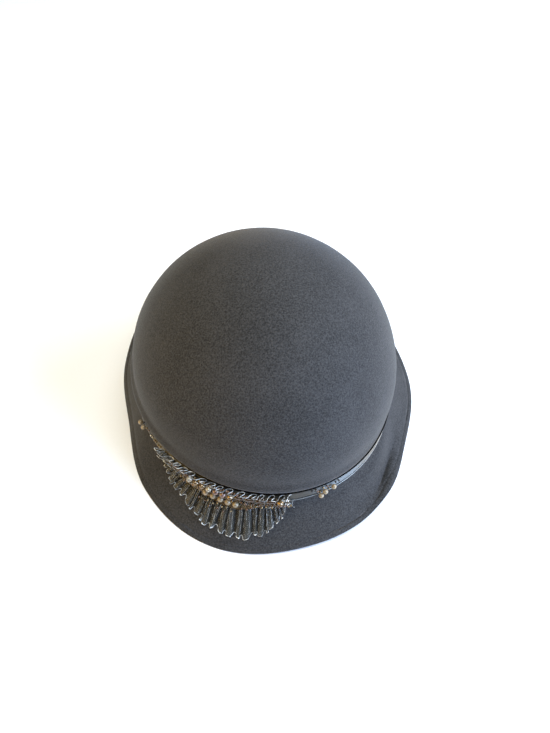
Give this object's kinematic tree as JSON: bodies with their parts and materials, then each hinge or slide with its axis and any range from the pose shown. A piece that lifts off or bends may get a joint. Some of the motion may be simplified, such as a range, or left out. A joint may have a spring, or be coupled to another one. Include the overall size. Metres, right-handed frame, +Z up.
{
  "type": "cloche hat",
  "caption": "Woman's bell-shaped felt hat with a satin band, a small pleated organza fan and a beaded crescent at the side front.",
  "frame": {"origin": "middle of the hat's outline seen from above, on the plane that the brim rests on", "axes": "+Z up through the crown, -Y the way the wearer looks, +X towards the wearer's left"},
  "size_m": [0.2156, 0.2508, 0.1375],
  "materials": {
    "felt": "matte",
    "satin": "satin",
    "organza": "satin",
    "pearl": "gloss",
    "amber_crystal": "gloss",
    "brown_glass": "gloss"
  },
  "bodies": {
    "root": {"felt_crown_and_brim": "felt", "satin_band": "satin", "band_piping": "satin", "fan_ruffle": "organza", "crown_ruffle": "organza", "crystal_1": "amber_crystal", "crystal_2": "amber_crystal", "crystal_3": "amber_crystal", "crystal_4": "amber_crystal", "crystal_5": "amber_crystal", "crystal_6": "amber_crystal", "crystal_7": "amber_crystal", "bugle_1": "brown_glass", "bugle_2": "brown_glass", "bugle_3": "brown_glass", "bugle_4": "brown_glass", "crystal_8": "amber_crystal", "pearl_1": "pearl", "pearl_2": "pearl", "pearl_3": "pearl", "pearl_4": "pearl", "pearl_5": "pearl", "small_pearl_1": "pearl", "small_pearl_2": "pearl", "small_pearl_3": "pearl", "small_pearl_4": "pearl", "small_pearl_5": "pearl"}
  },
  "joints": []
}
